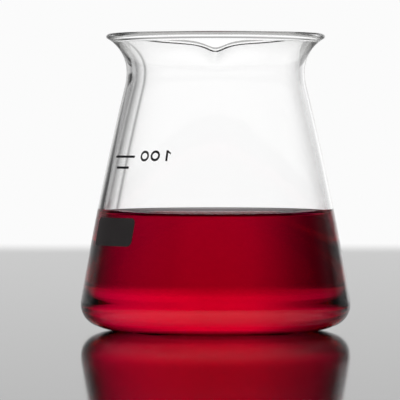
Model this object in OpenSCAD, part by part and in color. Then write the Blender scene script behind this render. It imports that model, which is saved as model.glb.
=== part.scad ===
// Conical laboratory flask with a flared rim and a drawn pouring spout, part filled with red liquid.
// Origin: centre of the standing face. +Z is up, and the spout points along +Y.

/* [Body] */
// Overall height, from the table to the top of the rim
height = 71.5; // [66:0.5:80]
// Widest outside diameter, just above the heel
belly_d = 65.2; // [62:0.2:70]
// Outside diameter of the flat standing face
foot_d = 47; // [42:0.5:50]
// Inside diameter of the flat standing ring
ring_d = 38; // [25:0.5:40]
// Height of the shallow dome inside the standing ring
push_up = 0.8; // [0.3:0.1:1.2]
// Radius of the underside between the standing face and the heel
sole_r = 14; // [10:0.5:20]
// Radius of the rounded heel
heel_r = 5.5; // [4:0.1:7]
// Radius of the slight outward bow of the wall
bow_r = 700; // [300:50:3000]

/* [Neck and rim] */
// Narrowest outside diameter, at the waist
neck_d = 43; // [40:0.5:46]
// Height of the waist
neck_z = 62.3; // [59:0.1:64]
// Radius of the hollow curve below the waist
neck_r = 16; // [8:0.5:30]
// Outside diameter of the rim
rim_d = 52.8; // [50:0.2:56]
// Radius of the rim's rounded outer edge
edge_r = 0.6; // [0.45:0.05:0.75]
// Radius of the crown of the bead along the lip
crown_r = 1.15; // [1:0.05:1.5]
// Thickness of the flared wall where it meets the bead
lip_wall = 0.95; // [0.8:0.05:1.1]
// Radius of the hollow between the bead and the inside of the flare
bead_hollow_r = 0.6; // [0.3:0.1:1]

/* [Glass] */
// Thickness of the wall
wall = 1.3; // [1:0.05:1.8]
// Thickness of the bottom above the table
floor_t = 2.2; // [1.8:0.1:4]
// Radius inside, between the bottom and the wall
inner_heel_r = 4.2; // [3:0.1:8]

/* [Spout] */
// How far the spout is drawn outwards at its tip
spout_pull = 2.6; // [1:0.1:4]
// How far the lip dips at the spout's tip
spout_dip = 2.05; // [0.5:0.05:3]
// Width scale of the spout, measured along the rim
spout_w = 2.3; // [1.5:0.1:6]

/* [Liquid] */
// Height of the flat liquid surface above the table
level_z = 27.6; // [10:0.1:50]
// Rise of the liquid's edge at the wall
meniscus_rise = 1.45; // [0.5:0.05:2.5]
// Reach of the curved edge from the wall
meniscus_reach = 2.9; // [1.5:0.1:5]

/* [Marking field] */
// Width of the dark grey writing field
field_w = 16; // [10:0.5:24]
// Lower edge of the field above the table
field_z = 20.7; // [14:0.1:30]
// Height of the field
field_h = 6.7; // [5:0.1:14]
// Corner radius of the field
field_corner = 1.2; // [0.5:0.1:2]
// Thickness of the fired-on enamel
enamel_t = 0.1; // [0.05:0.05:0.3]
// Direction of the field's middle, anticlockwise from the spout
field_turn = 123; // [0:1:359]

/* [Hidden] */

// Gap between surfaces that touch on the real object
seat_gap = 0.02;
// Step by which the lip's root is thinner than the wall on each side
seam_step = 0.03;
// Depth of the lip's root inside the wall
root_depth = 2;
// Direction, above level, in which the rim's edge runs into the bead's crown
crown_turn = 45;
// Places around the lip, and how much closer they lie at the spout than on average
lip_places = 84;
lip_crowding = 0.4;
// Steps along each rounded stretch of a turned outline, of the lip, of its edge and beside its bead
arc_steps = 10;
lip_steps = 9;
edge_steps = 6;
hollow_steps = 3;
$fn = 96;

foot_r = foot_d / 2;
ring_r = ring_d / 2;
dome_r = (ring_r * ring_r + push_up * push_up) / (2 * push_up);
waist_r = neck_d / 2;

// Heel: blends the sole into the belly
heel_turn = asin((belly_d / 2 - heel_r - foot_r) / (sole_r - heel_r));
heel_c = [belly_d / 2 - heel_r, sole_r - (sole_r - heel_r) * cos(heel_turn)];

// Bead: its crown, and the rim's edge inside the same curve
crown_c = [rim_d / 2 - edge_r, height - crown_r] - (crown_r - edge_r) * [cos(crown_turn), 0];
edge_c = crown_c + (crown_r - edge_r) * [cos(crown_turn), sin(crown_turn)];

// Waist: its lower hollow curve, and the outside of the flare, which runs into the rim's edge
neck_c = [waist_r + neck_r, neck_z];
edge_out = edge_c[0] - waist_r;
edge_up = edge_c[1] - neck_z;
flare_r = (edge_out * edge_out + edge_up * edge_up - edge_r * edge_r) / (2 * (edge_out + edge_r));
flare_c = [waist_r + flare_r, neck_z];
flare_turn = atan2(edge_c[1] - flare_c[1], flare_c[0] - edge_c[0]);

// Inside of the flare: it rises upright from the throat and meets the bead below its crown
throat_r = waist_r - wall;
meet = edge_c + (lip_wall - edge_r) * [-cos(flare_turn), sin(flare_turn)] - [throat_r, neck_z];
inner_flare_r = meet * meet / (2 * meet[0]);
inner_flare_c = [throat_r + inner_flare_r, neck_z];
hollow_c = arc_centre(inner_flare_c, inner_flare_r + bead_hollow_r, crown_c, crown_r + bead_hollow_r);

// Wall: one bowed arc that touches both the heel and the waist
bow_c = arc_centre(heel_c, bow_r - heel_r, neck_c, bow_r + neck_r);
bow_low = heading(bow_c, heel_c);
bow_high = heading(bow_c, neck_c);

// Points of an arc, or of a spiral whose radius changes evenly from r to r_end
function arc(c, r, from, to, steps = arc_steps, r_end = undef) =
    let (gain = is_undef(r_end) ? 0 : r_end - r)
    [for (i = [0:steps]) let (t = i / steps, a = from + (to - from) * t)
        c + (r + gain * t) * [cos(a), sin(a)]];
function heading(a, b) = atan2(b[1] - a[1], b[0] - a[0]);
function reversed(v) = [for (i = [len(v) - 1:-1:0]) v[i]];
function rest(v) = [for (i = [1:len(v) - 1]) v[i]];

// Centre, on the axis side, that lies at distances d1 and d2 from c1 and c2
function arc_centre(c1, d1, c2, d2) =
    let (span = norm(c2 - c1), u = (c2 - c1) / span)
    let (along = (d1 * d1 - d2 * d2 + span * span) / (2 * span))
    c1 + along * u + sqrt(d1 * d1 - along * along) * [-u[1], u[0]];

// Centre of the inside heel of a surface that lies the given depth inside the outer wall
function inner_corner(depth) =
    let (r = inner_heel_r - (depth - wall), z = floor_t + inner_heel_r)
    let (reach = bow_r - depth - r, drop = z - bow_c[1])
    [bow_c[0] + sqrt(reach * reach - drop * drop), z];

// Radius, at a height, of the surface that lies the given depth inside the outer wall
function wall_radius(z, depth) =
    let (r = bow_r - depth, up = z - bow_c[1]) bow_c[0] + sqrt(r * r - up * up);

// Polar angle, from the bow's centre, of that surface at a height
function wall_angle(z, depth) = asin((z - bow_c[1]) / (bow_r - depth));

// Inside outline from the centre of the bottom up to a polar angle of the wall
function inside(depth, top) =
    let (c = inner_corner(depth), r = inner_heel_r - (depth - wall), low = heading(bow_c, c))
    concat([[0, c[1] - r]], arc(c, r, -90, low), arc(bow_c, bow_r - depth, low, top));

// Outside outline from the centre of the underside up to the waist
function outside() = concat(
    arc([0, push_up - dome_r], dome_r, 90, 90 - asin(ring_r / dome_r)),
    arc([foot_r, sole_r], sole_r, -90, heel_turn - 90),
    arc(heel_c, heel_r, heel_turn - 90, bow_low),
    arc(bow_c, bow_r, bow_low, bow_high),
    arc(neck_c, neck_r, 180 + bow_high, 180));

// Cross-section of the lip with its root, and how far each point follows the spout: 0 to 1
lip_section = concat(
    [[waist_r - seam_step, neck_z - root_depth]],
    arc(flare_c, flare_r + seam_step, 180, 180 - flare_turn, lip_steps, flare_r),
    rest(arc(edge_c, edge_r, -flare_turn, crown_turn, edge_steps)),
    rest(arc(crown_c, crown_r, crown_turn, heading(crown_c, hollow_c), lip_steps)),
    rest(arc(hollow_c, bead_hollow_r, heading(hollow_c, crown_c), heading(hollow_c, inner_flare_c),
        hollow_steps)),
    rest(arc(inner_flare_c, inner_flare_r, heading(inner_flare_c, hollow_c), 180, lip_steps,
        inner_flare_r - seam_step)),
    [[throat_r + seam_step, neck_z - root_depth]]);
function share(p) =
    let (t = max(0, min(1, (p[1] - neck_z) / (edge_c[1] - neck_z)))) t * t * (3 - 2 * t);

// Places around the lip, crowded together at the spout
function place(i) =
    let (t = 2 * i / lip_places - 1) 180 * (lip_crowding * t + (1 - lip_crowding) * pow(t, 3));

// Height of the spout's rounded V at a place around the rim: 1 at its tip, falling to 0 beside it
function spout_shape(turn) =
    let (x = turn * PI / 180 * rim_d / 2 / spout_w) 2 / (exp(x) + exp(-x));

function lip_point(p, turn) =
    let (k = spout_shape(turn) * share(p))
    let (r = p[0] + k * spout_pull)
    [-r * sin(turn), r * cos(turn), p[1] - k * spout_dip];

module lip() {
    count = len(lip_section);
    points = [for (i = [0:lip_places - 1]) for (p = lip_section) lip_point(p, place(i))];
    faces = [for (i = [0:lip_places - 1]) for (j = [0:count - 1])
        let (a = i * count, b = (i + 1) % lip_places * count, k = (j + 1) % count)
        each [[a + j, a + k, b + k], [a + j, b + k, b + j]]];
    polyhedron(points, faces);
}

module glass_flask() {
    color([0.86, 0.9, 0.92, 0.4]) union() {
        rotate_extrude() polygon(concat(
            outside(),
            arc(neck_c, neck_r + wall, 180, 180 + bow_high),
            reversed(inside(wall, bow_high))));
        lip();
    }
}

module red_liquid() {
    depth = wall + seat_gap;
    contact_z = level_z + meniscus_rise;
    contact_r = wall_radius(contact_z, depth);
    curve_turn = 2 * atan(meniscus_rise / meniscus_reach);
    curve_r = meniscus_reach / sin(curve_turn);
    color([0.55, 0, 0.1, 0.85]) rotate_extrude() polygon(concat(
        inside(depth, wall_angle(contact_z, depth)),
        arc([contact_r - meniscus_reach, level_z + curve_r], curve_r, curve_turn - 90, -90),
        [[0, level_z]]));
}

module marking_field() {
    low = wall_angle(field_z - field_corner, 0);
    high = wall_angle(field_z + field_h + field_corner, 0);
    color([0.2, 0.18, 0.18]) intersection() {
        rotate_extrude() polygon(concat(
            arc(bow_c, bow_r + seat_gap, low, high),
            arc(bow_c, bow_r + seat_gap + enamel_t, high, low)));
        rotate(field_turn) rotate([-90, 0, 0]) mirror([0, 1, 0])
            translate([0, field_z + field_h / 2])
                linear_extrude(belly_d) rounded(field_w, field_h, field_corner);
    }
}

module rounded(w, h, r) {
    square([w - 2 * r, h], center = true);
    square([w, h - 2 * r], center = true);
    for (x = [-1, 1], y = [-1, 1]) translate([x * (w / 2 - r), y * (h / 2 - r)]) circle(r);
}

glass_flask();
red_liquid();
marking_field();
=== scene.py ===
import math

import bpy
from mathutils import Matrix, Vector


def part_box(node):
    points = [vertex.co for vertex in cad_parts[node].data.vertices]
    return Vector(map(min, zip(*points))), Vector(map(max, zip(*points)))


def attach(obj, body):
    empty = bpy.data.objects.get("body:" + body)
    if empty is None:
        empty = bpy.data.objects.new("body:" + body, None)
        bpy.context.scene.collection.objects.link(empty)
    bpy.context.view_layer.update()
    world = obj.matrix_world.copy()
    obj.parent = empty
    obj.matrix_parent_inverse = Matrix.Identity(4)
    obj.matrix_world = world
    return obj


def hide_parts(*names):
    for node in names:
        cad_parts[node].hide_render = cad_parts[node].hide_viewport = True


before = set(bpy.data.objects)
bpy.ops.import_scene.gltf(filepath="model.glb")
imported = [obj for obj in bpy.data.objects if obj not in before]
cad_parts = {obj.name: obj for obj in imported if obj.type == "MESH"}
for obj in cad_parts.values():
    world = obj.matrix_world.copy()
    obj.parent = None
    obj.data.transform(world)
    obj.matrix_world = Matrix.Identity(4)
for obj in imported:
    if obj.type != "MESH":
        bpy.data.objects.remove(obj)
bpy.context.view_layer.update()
mm = 0.001
print("frame loaded:", ", ".join(sorted(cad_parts)))


# Node helpers

class Nodes:
    def __init__(self, tree):
        self.tree = tree

    def make(self, kind, settings=None, sockets=None, output=0):
        node = self.tree.nodes.new(kind)
        for name, value in (settings or {}).items():
            if name == "stops":
                setStops(node.color_ramp, value)
            else:
                setattr(node, name, value)
        for name, value in (sockets or {}).items():
            if isinstance(value, Wire):
                self.tree.links.new(value.socket, node.inputs[name])
            else:
                node.inputs[name].default_value = value
        return Wire(self, node.outputs[output] if node.outputs else None, node)


class Wire:
    def __init__(self, nodes, socket, node=None):
        self.nodes = nodes
        self.socket = socket
        self.node = node

    def out(self, name):
        return Wire(self.nodes, self.node.outputs[name], self.node)

    def calc(self, operation, *terms):
        return self.nodes.make("ShaderNodeMath", {"operation": operation}, dict(enumerate(terms)))

    def __add__(self, other):
        return self.calc("ADD", self, other)

    def __radd__(self, other):
        return self.calc("ADD", other, self)

    def __sub__(self, other):
        return self.calc("SUBTRACT", self, other)

    def __rsub__(self, other):
        return self.calc("SUBTRACT", other, self)

    def __mul__(self, other):
        return self.calc("MULTIPLY", self, other)

    def __rmul__(self, other):
        return self.calc("MULTIPLY", other, self)

    def __truediv__(self, other):
        return self.calc("DIVIDE", self, other)

    def __rtruediv__(self, other):
        return self.calc("DIVIDE", other, self)


def setStops(ramp, stops):
    while len(ramp.elements) < len(stops):
        ramp.elements.new(1.0)
    for element, (place, colour) in zip(ramp.elements, stops):
        element.position = place
        element.color = (*colour, 1.0)


def newMaterial(name):
    material = bpy.data.materials.new(name)
    material.use_nodes = True
    material.node_tree.nodes.clear()
    return material, Nodes(material.node_tree)


def finishMaterial(nodes, surface, volume=None):
    sockets = {"Surface": surface}
    if volume:
        sockets["Volume"] = volume
    nodes.make("ShaderNodeOutputMaterial", None, sockets)


# Camera, at the photograph's viewing angle

photoView = {
    "distance": 0.943,          # camera to the flask's axis
    "eyeHeight": 0.047,         # above the table
    "pixelsPerMetre": 4142.5,   # at the flask's axis
    "axisColumn": 215.6,        # where the flask's axis stands in the picture
    "horizonRow": 135.2,        # where eye height lies in the picture
    "side": 400,                # pixels along each side
    "sensor": 36.0,
}


def makeCamera(s):
    focal = s["pixelsPerMetre"] * s["distance"]
    middle = s["side"] / 2
    data = bpy.data.cameras.new("photoCamera")
    data.sensor_width = s["sensor"]
    data.lens = s["sensor"] * focal / s["side"]
    data.clip_start = 0.01
    data.clip_end = 60
    camera = bpy.data.objects.new("photoCamera", data)
    camera.location = (0, -s["distance"], s["eyeHeight"])
    tilt = math.atan((middle - s["horizonRow"]) / focal)
    turn = math.atan((s["axisColumn"] - middle) / focal)
    camera.rotation_euler = (math.pi / 2 - tilt, 0, turn)
    bpy.context.collection.objects.link(camera)
    bpy.context.scene.camera = camera


makeCamera(photoView)
print("camera placed")


# Outlines of the glass and the liquid, in millimetres, from the sizes of the solids

low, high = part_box("glass_flask")
flask = {
    "height": high[2] / mm,
    "belly": (high[0] - low[0]) / 2 / mm,
    "foot": 23.5,               # outer radius of the standing ring
    "ring": 19.0,               # its inner radius
    "pushUp": 0.8,              # height of the dome inside the ring
    "sole": 14.0,               # radius of the curve from the ring to the heel
    "heel": 5.5,                # radius of the heel
    "bow": 700.0,               # radius of the wall's slight bow
    "waist": 21.5,              # radius at the narrowest place
    "waistHeight": 62.3,
    "neck": 16.0,               # radius of the curve from the wall into the waist
    "rim": 26.4,                # outer radius of the rim
    "edge": 0.6,                # radius of the rim's outer edge
    "crown": 1.15,              # radius of the bead's crown, on the inner side
    "crownTurn": 45.0,          # where the edge runs into the crown, in degrees above level
    "lipWall": 0.95,            # thickness of the wall where it meets the bead
    "beadHollow": 0.6,          # radius of the hollow between the bead and the wall
    "wall": 1.3,
    "floor": 2.2,
    "innerHeel": 4.2,           # radius of the corner inside
    "spoutPull": 2.6,           # how far the spout reaches out
    "spoutDip": 2.05,           # and down
    "spoutWidth": 2.3,          # over what width it fades to each side
    "turns": 288,               # places round the axis
    "crowding": 0.35,           # their spacing at the spout, beside an even one
}
creaseAngle = math.radians(35)  # edges that bend more than this stay sharp


def arcPoints(centre, radius, start, end, steps):
    angles = [math.radians(start + (end - start) * i / steps) for i in range(steps + 1)]
    return [(centre[0] + radius * math.cos(a), centre[1] + radius * math.sin(a)) for a in angles]


def heading(a, b):
    return math.degrees(math.atan2(b[1] - a[1], b[0] - a[0]))


def crossing(a, reachA, b, reachB):
    # the point at those distances from a and b, to the left of the way from a to b
    span = math.dist(a, b)
    ux = (b[0] - a[0]) / span
    uz = (b[1] - a[1]) / span
    along = (reachA ** 2 - reachB ** 2 + span ** 2) / (2 * span)
    across = math.sqrt(reachA ** 2 - along ** 2)
    return a[0] + along * ux - across * uz, a[1] + along * uz + across * ux


def workOut(s):
    heelTurn = math.asin((s["belly"] - s["heel"] - s["foot"]) / (s["sole"] - s["heel"]))
    s["heelTurn"] = math.degrees(heelTurn)
    s["heelCentre"] = (s["belly"] - s["heel"], s["sole"] - (s["sole"] - s["heel"]) * math.cos(heelTurn))
    s["neckCentre"] = (s["waist"] + s["neck"], s["waistHeight"])
    # the bead's crown, and the rim's edge inside the same curve
    growth = s["crown"] - s["edge"]
    rise = math.radians(s["crownTurn"])
    s["edgeCentre"] = (s["rim"] - s["edge"], s["height"] - s["crown"] + growth * math.sin(rise))
    s["crownCentre"] = (s["edgeCentre"][0] - growth * math.cos(rise), s["height"] - s["crown"])
    out = s["edgeCentre"][0] - s["waist"]
    up = s["edgeCentre"][1] - s["waistHeight"]
    s["flare"] = (out ** 2 + up ** 2 - s["edge"] ** 2) / (2 * (out + s["edge"]))
    s["flareCentre"] = (s["waist"] + s["flare"], s["waistHeight"])
    s["flareTurn"] = 180 - heading(s["flareCentre"], s["edgeCentre"])
    # inside of the flare, and the hollow between it and the bead
    past = s["lipWall"] - s["edge"]
    tilt = math.radians(180 - s["flareTurn"])
    throat = s["waist"] - s["wall"]
    meet = (s["edgeCentre"][0] + past * math.cos(tilt) - throat,
            s["edgeCentre"][1] + past * math.sin(tilt) - s["waistHeight"])
    s["innerFlare"] = (meet[0] ** 2 + meet[1] ** 2) / (2 * meet[0])
    s["innerFlareCentre"] = (throat + s["innerFlare"], s["waistHeight"])
    s["hollowCentre"] = crossing(s["innerFlareCentre"], s["innerFlare"] + s["beadHollow"],
                                 s["crownCentre"], s["crown"] + s["beadHollow"])
    # the bowed wall touches the heel and the waist
    s["bowCentre"] = crossing(s["heelCentre"], s["bow"] - s["heel"], s["neckCentre"], s["bow"] + s["neck"])
    s["bowLow"] = heading(s["bowCentre"], s["heelCentre"])
    s["bowHigh"] = heading(s["bowCentre"], s["neckCentre"])


def insideOutline(s, depth, top):
    # from the middle of the bottom up the inside of a wall of that thickness
    radius = s["innerHeel"] - (depth - s["wall"])
    z = s["floor"] + s["innerHeel"]
    reach = s["bow"] - depth - radius
    corner = (s["bowCentre"][0] + math.sqrt(reach ** 2 - (z - s["bowCentre"][1]) ** 2), z)
    turn = heading(s["bowCentre"], corner)
    bottom = [(corner[0] * i / 10, z - radius) for i in range(10)]
    return (bottom + arcPoints(corner, radius, -90, turn, 18)
            + arcPoints(s["bowCentre"], s["bow"] - depth, turn, top, 40))


def wallRadius(s, z, depth=0.0):
    return s["bowCentre"][0] + math.sqrt((s["bow"] - depth) ** 2 - (z - s["bowCentre"][1]) ** 2)


def wallAngle(s, z, depth=0.0):
    return math.degrees(math.asin((z - s["bowCentre"][1]) / (s["bow"] - depth)))


def glassOutline(s):
    dome = (s["ring"] ** 2 + s["pushUp"] ** 2) / (2 * s["pushUp"])
    edge = math.degrees(math.asin(s["ring"] / dome))
    straight = 180 - s["flareTurn"]
    return (arcPoints((0, s["pushUp"] - dome), dome, 90, 90 - edge, 10)
            + arcPoints((s["foot"], s["sole"]), s["sole"], -90, s["heelTurn"] - 90, 8)
            + arcPoints(s["heelCentre"], s["heel"], s["heelTurn"] - 90, s["bowLow"], 20)
            + arcPoints(s["bowCentre"], s["bow"], s["bowLow"], s["bowHigh"], 40)
            + arcPoints(s["neckCentre"], s["neck"], 180 + s["bowHigh"], 180, 8)
            + arcPoints(s["flareCentre"], s["flare"], 180, straight, 24)
            + arcPoints(s["edgeCentre"], s["edge"], -s["flareTurn"], s["crownTurn"], 16)
            + arcPoints(s["crownCentre"], s["crown"], s["crownTurn"],
                        heading(s["crownCentre"], s["hollowCentre"]), 24)
            + arcPoints(s["hollowCentre"], s["beadHollow"], heading(s["hollowCentre"], s["crownCentre"]),
                        heading(s["hollowCentre"], s["innerFlareCentre"]), 10)
            + arcPoints(s["innerFlareCentre"], s["innerFlare"],
                        heading(s["innerFlareCentre"], s["hollowCentre"]), 180, 24)
            + arcPoints(s["neckCentre"], s["neck"] + s["wall"], 180, 180 + s["bowHigh"], 8)
            + insideOutline(s, s["wall"], s["bowHigh"])[::-1])


liquid = {
    "level": 27.6,
    "rise": 1.45,               # of its edge at the wall
    "contactTurn": 76.0,        # slope of its edge at the wall, in degrees
    "tail": 2.6,                # radius of the edge's foot, which runs out level
    "tailTurn": 41.4,           # slope where the foot begins
    "wetting": 0.15,            # how far its skin lies inside the glass, so that no air shows between them
    "ior": 1.333,
    "colour": (0.947, 0.0, 0.555, 1.0),
    "density": 150.0,           # of the colour, per metre
}


def liquidOutline(s, fill):
    depth = s["wall"] - fill["wetting"]
    edge = fill["level"] + fill["rise"]
    steep, low = math.radians(fill["contactTurn"]), math.radians(fill["tailTurn"])
    tail = fill["tail"]
    radius = (fill["rise"] - tail * (1 - math.cos(low))) / (math.cos(low) - math.cos(steep))
    upper = (wallRadius(s, edge, depth) - radius * math.sin(steep), edge + radius * math.cos(steep))
    lower = (upper[0] + (radius - tail) * math.sin(low), fill["level"] + tail)
    top = [(lower[0] * i / 10, fill["level"]) for i in range(9, -1, -1)]
    return (insideOutline(s, depth, wallAngle(s, edge, depth))
            + arcPoints(upper, radius, fill["contactTurn"] - 90, fill["tailTurn"] - 90, 14)
            + arcPoints(lower, tail, fill["tailTurn"] - 90, -90, 14) + top)


def withoutRepeats(points):
    kept = [points[0]]
    for p in points[1:]:
        if math.dist(p, kept[-1]) > 1e-4:
            kept.append(p)
    return kept


workOut(flask)


# Turned pieces: an outline swept round the axis, with the spout drawn out of the lip

def newTree(name, inputs):
    tree = bpy.data.node_groups.new(name, "GeometryNodeTree")
    tree.interface.new_socket("Geometry", in_out="INPUT", socket_type="NodeSocketGeometry")
    for label, kind in inputs:
        tree.interface.new_socket(label, in_out="INPUT", socket_type="NodeSocket" + kind)
    tree.interface.new_socket("Geometry", in_out="OUTPUT", socket_type="NodeSocketGeometry")
    nodes = Nodes(tree)
    return nodes, nodes.make("NodeGroupInput")


def endTree(nodes, geometry, material):
    bend = nodes.make("GeometryNodeInputMeshEdgeAngle")
    hard = nodes.make("FunctionNodeCompare", {"operation": "GREATER_THAN"}, {0: bend, 1: creaseAngle})
    smooth = nodes.make("GeometryNodeSetShadeSmooth", {"domain": "FACE"}, {0: geometry, "Shade Smooth": True})
    edged = nodes.make("GeometryNodeSetShadeSmooth", {"domain": "EDGE"},
                       {0: smooth, "Selection": hard, "Shade Smooth": False})
    whole = nodes.make("GeometryNodeRealizeInstances", None, {0: edged})
    finished = nodes.make("GeometryNodeSetMaterial", None, {0: whole, "Material": material})
    nodes.make("NodeGroupOutput", None, {0: finished})
    return nodes.tree


def turnedTree():
    nodes, given = newTree("turnedPiece", [
        ("Turns", "Int"), ("Crowding", "Float"), ("Outline Points", "Int"), ("Rim Radius", "Float"),
        ("Waist Height", "Float"), ("Lip Height", "Float"), ("Spout Pull", "Float"),
        ("Spout Dip", "Float"), ("Spout Width", "Float"), ("Material", "Material")])
    columns = given.out("Turns") + 1
    sheet = nodes.make("GeometryNodeMeshGrid", None,
                       {"Vertices X": given.out("Outline Points"), "Vertices Y": columns})
    index = nodes.make("GeometryNodeInputIndex") + 0.5
    row = index.calc("FLOOR", index / columns)
    column = index.calc("FLOOR", index - row * columns)
    place = nodes.make("GeometryNodeInputPosition")
    point = nodes.make("GeometryNodeSampleIndex", {"data_type": "FLOAT_VECTOR", "domain": "POINT"},
                       {"Geometry": given.out("Geometry"), "Value": place, "Index": row})
    parts = nodes.make("ShaderNodeSeparateXYZ", None, {0: point})
    radius = parts.out("X")
    z = parts.out("Z")
    way = column * 2.0 / given.out("Turns") - 1.0
    crowding = given.out("Crowding")
    turn = (crowding * way + (1.0 - crowding) * way * way * way) * math.pi
    spread = turn * given.out("Rim Radius") / given.out("Spout Width")
    tip = 1.0 / spread.calc("COSH", spread)
    waist = given.out("Waist Height")
    share = nodes.make("ShaderNodeClamp", None, {0: (z - waist) / (given.out("Lip Height") - waist)})
    drawn = tip * share * share * (3.0 - 2.0 * share)
    radius = radius + drawn * given.out("Spout Pull")
    spot = nodes.make("ShaderNodeCombineXYZ", None, {
        "X": radius * turn.calc("SINE", turn),
        "Y": radius * turn.calc("COSINE", turn),
        "Z": z - drawn * given.out("Spout Dip")})
    turned = nodes.make("GeometryNodeSetPosition", None, {0: sheet, "Position": spot})
    closed = nodes.make("GeometryNodeMergeByDistance", None, {0: turned, "Distance": 1e-6})
    return endTree(nodes, closed, given.out("Material"))


def makeByTree(name, mesh, tree, settings):
    piece = bpy.data.objects.new(name, mesh)
    bpy.context.collection.objects.link(piece)
    modifier = piece.modifiers.new("shape", "NODES")
    modifier.node_group = tree
    for item in tree.interface.items_tree:
        if item.in_out == "INPUT" and item.name in settings:
            modifier[item.identifier] = settings[item.name]
    ready = bpy.context.evaluated_depsgraph_get()
    plain = bpy.data.meshes.new_from_object(piece.evaluated_get(ready), depsgraph=ready)
    piece.modifiers.clear()
    piece.data = plain
    plain.name = name
    print(name, "has", len(plain.polygons), "faces")
    return piece


def outlineMesh(name, points):
    mesh = bpy.data.meshes.new(name)
    mesh.from_pydata([(x * mm, 0, z * mm) for x, z in points], [], [])
    return mesh


# Finishes

def between(nodes, value, ends, kind="LINEAR"):
    # 0 at the first end, 1 at the second
    return nodes.make("ShaderNodeMapRange", {"interpolation_type": kind}, {
        "Value": value, "From Min": ends[0], "From Max": ends[1]})


glass = {
    "ior": 1.47,
    "swayScale": 38.0,          # of the slow waves in the blown surface
    "swayStretch": 0.35,        # along the axis
    "swayStrength": 0.03,
    "swayDepth": 2.0 * mm,
    "smearScale": 90.0,         # of the faint smears
    "smear": (0.45, 0.75),      # where in the pattern they begin and are full
    "haze": 0.02,               # their roughness
}


def glassFinish(s):
    material, nodes = newMaterial("clearGlass")
    spot = nodes.make("ShaderNodeTexCoord", None, None, "Object")
    drawn = nodes.make("ShaderNodeMapping", None, {"Vector": spot, "Scale": (1, 1, s["swayStretch"])})
    sway = nodes.make("ShaderNodeTexNoise", None, {"Vector": drawn, "Scale": s["swayScale"], "Detail": 1.0})
    smear = nodes.make("ShaderNodeTexNoise", None, {"Vector": spot, "Scale": s["smearScale"], "Detail": 4.0})
    wobble = nodes.make("ShaderNodeBump", None, {
        "Strength": s["swayStrength"], "Distance": s["swayDepth"], "Height": sway})
    shader = nodes.make("ShaderNodeBsdfPrincipled", None, {
        "Base Color": (1.0, 1.0, 1.0, 1.0), "Roughness": between(nodes, smear, s["smear"]) * s["haze"],
        "IOR": s["ior"], "Transmission Weight": 1.0, "Normal": wobble})
    finishMaterial(nodes, shader)
    return material


def liquidFinish(s):
    material, nodes = newMaterial("redLiquid")
    shader = nodes.make("ShaderNodeBsdfPrincipled", None, {
        "Base Color": (1.0, 1.0, 1.0, 1.0), "Roughness": 0.0, "IOR": s["ior"], "Transmission Weight": 1.0})
    depth = nodes.make("ShaderNodeVolumeAbsorption", None, {"Color": s["colour"], "Density": s["density"]})
    finishMaterial(nodes, shader, depth)
    return material


# fired-on screen print: matt, with a fine grain and a slightly uneven coat
enamel = {
    "coatScale": 260.0,
    "grainShare": 0.3,          # of the grain in the tone, beside the coat
    "roughness": (0.42, 0.62),
    "ior": 1.5,
    "relief": 0.25,
    "reliefDepth": 0.02 * mm,
    # the writing field's dark grey is painted shade: it is set as dark as the field looks with little light
    # falling on its front
    "fieldEnamelWithPaintedShade": {"dark": (0.026, 0.021, 0.022), "light": (0.046, 0.039, 0.04), "grain": 0.12 * mm},
    "blackEnamel": {"dark": (0.006, 0.006, 0.008), "light": (0.016, 0.017, 0.021), "grain": 0.08 * mm},
}


def enamelFinish(name, s):
    tones = s[name]
    share = s["grainShare"]
    material, nodes = newMaterial(name)
    spot = nodes.make("ShaderNodeTexCoord", None, None, "Object")
    grain = nodes.make("ShaderNodeTexNoise", None, {
        "Vector": spot, "Scale": 1 / tones["grain"], "Detail": 2.0})
    coat = nodes.make("ShaderNodeTexNoise", None, {"Vector": spot, "Scale": s["coatScale"], "Detail": 3.0})
    tone = nodes.make("ShaderNodeMix", {"data_type": "RGBA"}, {
        0: coat * (1 - share) + grain * share, 6: (*tones["dark"], 1.0), 7: (*tones["light"], 1.0)}, 2)
    rough = nodes.make("ShaderNodeMapRange", None, {
        "Value": coat, "To Min": s["roughness"][0], "To Max": s["roughness"][1]})
    relief = nodes.make("ShaderNodeBump", None, {
        "Strength": s["relief"], "Distance": s["reliefDepth"], "Height": grain})
    shader = nodes.make("ShaderNodeBsdfPrincipled", None, {
        "Base Color": tone, "Roughness": rough, "IOR": s["ior"], "Normal": relief})
    finishMaterial(nodes, shader)
    return material


print("making the turned pieces")
turned = turnedTree()
spoutSizes = {
    "Turns": flask["turns"],
    "Crowding": flask["crowding"],
    "Rim Radius": flask["rim"] * mm,
    "Waist Height": flask["waistHeight"] * mm,
    "Lip Height": flask["edgeCentre"][1] * mm,
    "Spout Pull": flask["spoutPull"] * mm,
    "Spout Dip": flask["spoutDip"] * mm,
    "Spout Width": flask["spoutWidth"] * mm,
}


def makeTurned(name, points, finish):
    points = withoutRepeats(points)
    settings = {**spoutSizes, "Outline Points": len(points), "Material": finish}
    return makeByTree(name, outlineMesh(name, points), turned, settings)


glassPiece = makeTurned("clear_glass", glassOutline(flask), glassFinish(glass))
liquidPiece = makeTurned("red_fill", liquidOutline(flask, liquid), liquidFinish(liquid))

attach(glassPiece, "root")
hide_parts("glass_flask")
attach(liquidPiece, "root")
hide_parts("red_liquid")


# Enamel print: outlines drawn flat, x to the right and y up, then fired onto the outside of the wall

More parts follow.
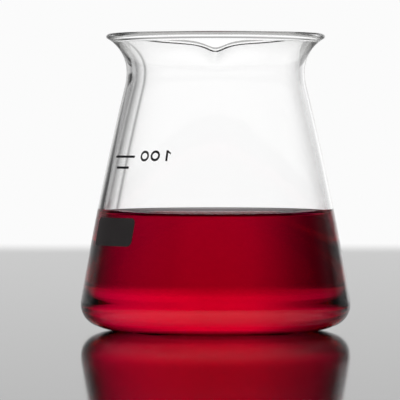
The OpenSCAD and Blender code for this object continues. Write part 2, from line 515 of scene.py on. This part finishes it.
def printTree():
    nodes, given = newTree("wallPrint", [
        ("Turn", "Float"), ("Height", "Float"), ("Bow Radius", "Float"), ("Bow Middle X", "Float"),
        ("Bow Middle Z", "Float"), ("Sink", "Float"), ("Thickness", "Float"), ("Fineness", "Int"),
        ("Material", "Material")])
    outline = nodes.make("GeometryNodeMeshToCurve", None, {0: given.out("Geometry")})
    filled = nodes.make("GeometryNodeFillCurve", None, {0: outline})
    flat = nodes.make("GeometryNodeSubdivideMesh", None, {0: filled, "Level": given.out("Fineness")})
    upwards = nodes.make("ShaderNodeCombineXYZ", None, {"Z": 1.0})
    raised = nodes.make("GeometryNodeExtrudeMesh", {"mode": "FACES"}, {
        0: flat, "Offset": upwards, "Offset Scale": given.out("Thickness"), "Individual": False})
    whole = nodes.make("GeometryNodeJoinGeometry", None, {0: raised})
    under = nodes.make("GeometryNodeFlipFaces", None, {0: flat})
    nodes.tree.links.new(under.socket, whole.node.inputs[0])
    closed = nodes.make("GeometryNodeMergeByDistance", None, {0: whole, "Distance": 1e-6})
    spot = nodes.make("ShaderNodeSeparateXYZ", None, {0: nodes.make("GeometryNodeInputPosition")})
    height = spot.out("Y") + given.out("Height")
    drop = height - given.out("Bow Middle Z")
    reach = given.out("Bow Radius") - given.out("Sink") + spot.out("Z")
    span = reach * reach - drop * drop
    radius = given.out("Bow Middle X") + span.calc("SQRT", span)
    side = spot.out("X") / radius
    turn = given.out("Turn") + side.calc("ARCSINE", side)
    wrapped = nodes.make("ShaderNodeCombineXYZ", None, {
        "X": -1.0 * radius * turn.calc("SINE", turn), "Y": radius * turn.calc("COSINE", turn), "Z": height})
    fired = nodes.make("GeometryNodeSetPosition", None, {0: closed, "Position": wrapped})
    return endTree(nodes, fired, given.out("Material"))


def barLoop(x, y, width, height, corner):
    across = width / 2 - corner
    up = height / 2 - corner
    corners = [(across, up, 0), (-across, up, 90), (-across, -up, 180), (across, -up, 270)]
    return [p for u, v, start in corners for p in arcPoints((x + u, y + v), corner, start, start + 90, 6)]


def ovalLoop(x, y, halfWidth, halfHeight):
    turns = [2 * math.pi * i / 48 for i in range(48)]
    return [(x + halfWidth * math.cos(t), y + halfHeight * math.sin(t)) for t in turns]


def loopsMesh(name, loops):
    points, edges = [], []
    for loop in loops:
        first = len(points)
        points += [(x * mm, y * mm, 0) for x, y in loop]
        edges += [(first + i, first + (i + 1) % len(loop)) for i in range(len(loop))]
    mesh = bpy.data.meshes.new(name)
    mesh.from_pydata(points, edges, [])
    return mesh


def makePrint(name, loops, s, finish):
    settings = {
        "Turn": math.radians(s["turn"]),
        "Height": s["middle"] * mm,
        "Bow Radius": flask["bow"] * mm,
        "Bow Middle X": flask["bowCentre"][0] * mm,
        "Bow Middle Z": flask["bowCentre"][1] * mm,
        "Sink": s["sink"] * mm,
        "Thickness": (s["sink"] + s["proud"]) * mm,
        "Fineness": s["fineness"],
        "Material": finish,
    }
    piece = makeByTree(name, loopsMesh(name, loops), printed, settings)
    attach(piece, "root")
    return piece


fieldLow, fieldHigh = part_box("marking_field")
writingField = {
    "turn": 123.0,              # degrees anticlockwise from the spout
    "middle": (fieldLow[2] + fieldHigh[2]) / 2 / mm,
    "width": 16.0,
    "height": (fieldHigh[2] - fieldLow[2]) / mm,
    "corner": 1.2,
    "sink": 0.02,               # fused into the glass
    "proud": 0.12,              # above the glass
    "fineness": 4,
}
number = {
    "turn": 37.0,
    "middle": 42.0,
    "pitch": 3.6,               # from one digit to the next
    "halfWidth": 1.5,           # of a nought
    "halfHeight": 1.33,
    "stroke": 0.58,
    "flag": 1.35,               # reach of the one's flag from its stem's right edge
    "flagTop": 0.65,            # how far its tip lies under the top
    "flagTip": 0.4,             # height of the tip
    "flagFoot": 0.6,            # how far under the top it leaves the stem
    "lean": 0.1,                # of the stem's top left corner
    "sink": 0.02,
    "proud": 0.03,
    "fineness": 2,
}
volumeLines = {
    "turn": 122.8,
    "middle": 40.6,
    "lines": [(1.3, 8.4), (-1.3, 5.4)],     # height from the middle, and length
    "stroke": 0.55,
    "corner": 0.255,
    "sink": 0.02,
    "proud": 0.03,
    "fineness": 3,
}


def numberLoops(s):
    # a one and two noughts
    up, stroke = s["halfHeight"], s["stroke"]
    right = stroke / 2 - s["pitch"]
    left = right - stroke
    tip = right - s["flag"]
    high = up - s["flagTop"]
    one = [(right, -up), (right, up), (left + s["lean"], up), (tip, high), (tip, high - s["flagTip"]),
           (left, up - s["flagFoot"]), (left, -up)]
    noughts = []
    for x in (0, s["pitch"]):
        noughts.append(ovalLoop(x, 0, s["halfWidth"], up))
        noughts.append(ovalLoop(x, 0, s["halfWidth"] - stroke, up - stroke))
    return [one] + noughts


print("firing on the print")
printed = printTree()
# the writing field's enamel, its dark grey tone painted shade
fieldEnamelWithPaintedShade = enamelFinish("fieldEnamelWithPaintedShade", enamel)
blackEnamel = enamelFinish("blackEnamel", enamel)
fieldLoop = barLoop(0, 0, writingField["width"], writingField["height"], writingField["corner"])
fieldPiece = makePrint("writing_field", [fieldLoop], writingField, fieldEnamelWithPaintedShade)
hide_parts("marking_field")
makePrint("capacity_number", numberLoops(number), number, blackEnamel)
lineLoops = [barLoop(0, y, length, volumeLines["stroke"], volumeLines["corner"])
             for y, length in volumeLines["lines"]]
makePrint("volume_lines", lineLoops, volumeLines, blackEnamel)


# Stage and light

inDegrees = 180 / math.pi
clearDepth = 4.5                # light that has come through more surfaces than this has been in the liquid


def curveOf(nodes, value, stops):
    start, end = stops[0][0], stops[-1][0]
    return nodes.make("ShaderNodeValToRGB", {
        "stops": [((at - start) / (end - start), (level,) * 3) for at, level in stops]},
        {0: between(nodes, value, (start, end))})


table = {
    "halfWidth": 3.0,
    "front": -6.0,
    "back": 0.76,               # behind the flask's axis
    "depth": 0.03,
    "pale": (0.62, 0.62, 0.61, 1.0),
    "dark": (0.012, 0.012, 0.012, 1.0),
    "roughness": 0.06,
    "ior": 2.0,
    "dullness": 0.12,           # share of the mirror that mirrors nothing
    "mist": (0.6, 0.77),        # distances behind the axis over which the far edge fades
    "polish": (0.7, 0.85),      # slants of view over which the pale top turns into a dark mirror
    "contact": (0.03, 0.07),    # distances from the axis over which the part's shade ends
    # how pale the top is where it is seen through the liquid, in degrees from straight behind
    "sides": [(0, 0.0), (32, 0.0), (44, 1.0), (180, 1.0)],
    "low": (0.48, 0.62),        # slants of view over which both shades begin
}


def makeTable(s, white):
    x, front, back, low = s["halfWidth"], s["front"], s["back"], -s["depth"]
    corners = [(-x, front), (x, front), (x, back), (-x, back)]
    points = [(u, v, 0) for u, v in corners] + [(u, v, low) for u, v in corners]
    faces = [(0, 1, 2, 3), (7, 6, 5, 4), (0, 4, 5, 1), (1, 5, 6, 2), (2, 6, 7, 3), (3, 7, 4, 0)]
    mesh = bpy.data.meshes.new("table")
    mesh.from_pydata(points, [], faces)
    top = bpy.data.objects.new("table", mesh)
    bpy.context.collection.objects.link(top)
    material, nodes = newMaterial("tableTop")
    ray = nodes.make("ShaderNodeLightPath")
    slant = nodes.make("ShaderNodeLayerWeight", None, {"Blend": 0.5}, "Facing")
    through = ray.out("Is Transmission Ray")
    direct = ray.out("Is Camera Ray")
    polish = between(nodes, slant, s["polish"], "SMOOTHSTEP")
    low = between(nodes, slant, s["low"], "SMOOTHSTEP")
    pale = nodes.make("ShaderNodeBsdfDiffuse", None, {"Color": s["pale"]})
    gloss = nodes.make("ShaderNodeBsdfPrincipled", None, {
        "Base Color": s["dark"], "Roughness": s["roughness"], "IOR": s["ior"]})
    dull = nodes.make("ShaderNodeBsdfDiffuse", None, {"Color": s["dark"]})
    mirror = nodes.make("ShaderNodeMixShader", None, {0: s["dullness"] * (1.0 - through), 1: gloss, 2: dull})
    # the part's shade close to it, and the shade behind it that the liquid shows
    spot = nodes.make("ShaderNodeTexCoord", None, None, "Object")
    place = nodes.make("ShaderNodeSeparateXYZ", None, {0: spot})
    across, away = place.out("X"), place.out("Y")
    reach = across * across + away * away
    contact = between(nodes, reach.calc("SQRT", reach), s["contact"], "SMOOTHSTEP")
    shaded = 1.0 - (1.0 - direct) * (1.0 - contact) * (1.0 - through * (1.0 - low))
    depth = ray.out("Transmission Depth")
    filled = depth.calc("GREATER_THAN", depth, clearDepth)
    side = across.calc("ABSOLUTE", across)
    sides = curveOf(nodes, side.calc("ARCTAN2", side, away) * inDegrees, s["sides"])
    shown = (1.0 - polish) * shaded * (1.0 - filled * (1.0 - sides) * low)
    topping = nodes.make("ShaderNodeMixShader", None, {0: shown, 1: mirror, 2: pale})
    mist = between(nodes, away, s["mist"], "SMOOTHSTEP")
    glow = nodes.make("ShaderNodeEmission", None, {"Color": (1, 1, 1, 1), "Strength": white})
    finishMaterial(nodes, nodes.make("ShaderNodeMixShader", None, {0: mist * direct, 1: topping, 2: glow}))
    mesh.materials.append(material)


studio = {
    "light": 0.9,               # on what scatters light
    "white": 0.965,             # the backdrop, where it is seen past the part
    "azimuth": [                # brightness round the part, in degrees from straight behind it, to the right
        (-180, 0.9), (-110, 0.9), (-80, 0.005), (-52, 0.025), (-40, 0.22), (-28, 0.42), (-20, 0.55),
        (-13, 0.75), (-8, 0.95), (-4, 1.0), (3, 1.0), (6, 1.08), (14, 1.08), (20, 0.98), (30, 0.74),
        (40, 0.42), (50, 0.06), (80, 0.005), (110, 0.9), (180, 0.9)],
    "height": [                 # and from below upwards
        (-90, 0.2), (-6, 1.1), (5, 1.1), (9, 1.22), (15, 1.22), (20, 0.7), (28, 0.45), (36, 0.4), (90, 0.4)],
    "mirrorEnd": (0.5, 0.2),    # steps away from the camera over which mirrored light ends
    "mirrorTop": (30, 45),      # heights over which it comes back
    "mirrored": 0.74,           # of the backdrop, where a surface mirrors it straight to the eye
    "bounces": 24,
    "mirrorBounces": 12,
}

# Dark flags before the backdrop, which draw the edges of the glass: what each leaves of the light from left
# to right, how clear it is from below upwards, both in degrees, and through how many surfaces it is seen
flags = {
    "narrowStrips": {
        "across": [(-17, 1.0), (-15.5, 0.75), (-14, 0.7), (-11.7, 0.34), (-9.5, 0.7), (-7.4, 1.0),
                   (-7.0, 0.9), (-6.4, 0.4), (-5.8, 0.9), (-5.3, 1.0)],
        "clear": [(3.4, 0.0), (4.9, 1.0)],
        "through": (1, 4),
    },
    "leftBar": {
        "across": [(-40, 1.0), (-34, 0.03), (-19, 0.03), (-14, 1.0)],
        "clear": [(1.2, 1.0), (2.0, 0.0), (5.2, 0.0), (6.2, 1.0)],
        "through": (1, 4),
    },
    "leftScreen": {
        "across": [(-60, 1.0), (-50, 0.05), (-16, 0.05), (-10, 1.0)],
        "clear": [(7.5, 1.0), (9.5, 0.0)],
        "through": (1, 4),
    },
    "rightCard": {
        "across": [(22, 1.0), (30, 0.1), (60, 0.1), (80, 1.0)],
        "clear": [(7.0, 0.0), (9.0, 1.0)],
        "through": (0, 0),
    },
    "topScreen": {
        "across": [(-50, 0.4), (-28, 0.45), (-20, 0.65), (-13, 0.92), (-8, 1.0), (3, 1.0), (10, 0.82),
                   (25, 0.8), (40, 0.62), (50, 0.5)],
        "clear": [(5.0, 1.0), (7.5, 0.0)],
        "through": (5, 20),
    },
}


def makeWorld(s, flags):
    world = bpy.data.worlds.new("studio")
    bpy.context.scene.world = world
    world.use_nodes = True
    world.node_tree.nodes.clear()
    nodes = Nodes(world.node_tree)
    ray = nodes.make("ShaderNodeLightPath")
    way = nodes.make("ShaderNodeTexCoord", None, None, "Generated")
    steps = nodes.make("ShaderNodeSeparateXYZ", None, {0: way})
    x, y, z = steps.out("X"), steps.out("Y"), steps.out("Z")
    turn = x.calc("ARCTAN2", x, y) * inDegrees
    height = z.calc("ARCSINE", z) * inDegrees
    level = curveOf(nodes, turn, s["azimuth"]) * curveOf(nodes, height, s["height"])
    depth = ray.out("Transmission Depth")
    for flag in flags.values():
        left = curveOf(nodes, turn, flag["across"])
        clear = curveOf(nodes, height, flag["clear"])
        least, most = flag["through"]
        shown = (depth.calc("GREATER_THAN", depth, least - 0.5)
                 * depth.calc("LESS_THAN", depth, most + 0.5) * (1.0 - clear))
        level = level * (1.0 - shown * (1.0 - left))
    mirrored = nodes.make("ShaderNodeClamp", None, {0: ray.out("Glossy Depth")})
    ended = between(nodes, y, s["mirrorEnd"])
    overhead = between(nodes, height, s["mirrorTop"])
    shallow = depth.calc("LESS_THAN", depth, clearDepth)
    level = level * (1.0 - ended * mirrored * (1.0 - overhead) * shallow)
    straight = mirrored * depth.calc("LESS_THAN", depth, 0.5)
    level = level * (1.0 - (1.0 - s["mirrored"]) * straight)
    level = level + (s["white"] - level) * ray.out("Is Camera Ray")
    seen = 1.0 - ray.out("Is Diffuse Ray")
    backdrop = nodes.make("ShaderNodeBackground", None, {"Color": (1, 1, 1, 1), "Strength": level})
    light = nodes.make("ShaderNodeBackground", None, {"Color": (1, 1, 1, 1), "Strength": s["light"]})
    mixed = nodes.make("ShaderNodeMixShader", None, {0: seen, 1: light, 2: backdrop})
    nodes.make("ShaderNodeOutputWorld", None, {"Surface": mixed})


makeTable(table, studio["white"])
makeWorld(studio, flags)

scene = bpy.context.scene
scene.view_settings.view_transform = "Standard"
scene.cycles.max_bounces = studio["bounces"]
scene.cycles.transmission_bounces = studio["bounces"]
scene.cycles.glossy_bounces = studio["mirrorBounces"]
print("stage and light ready")
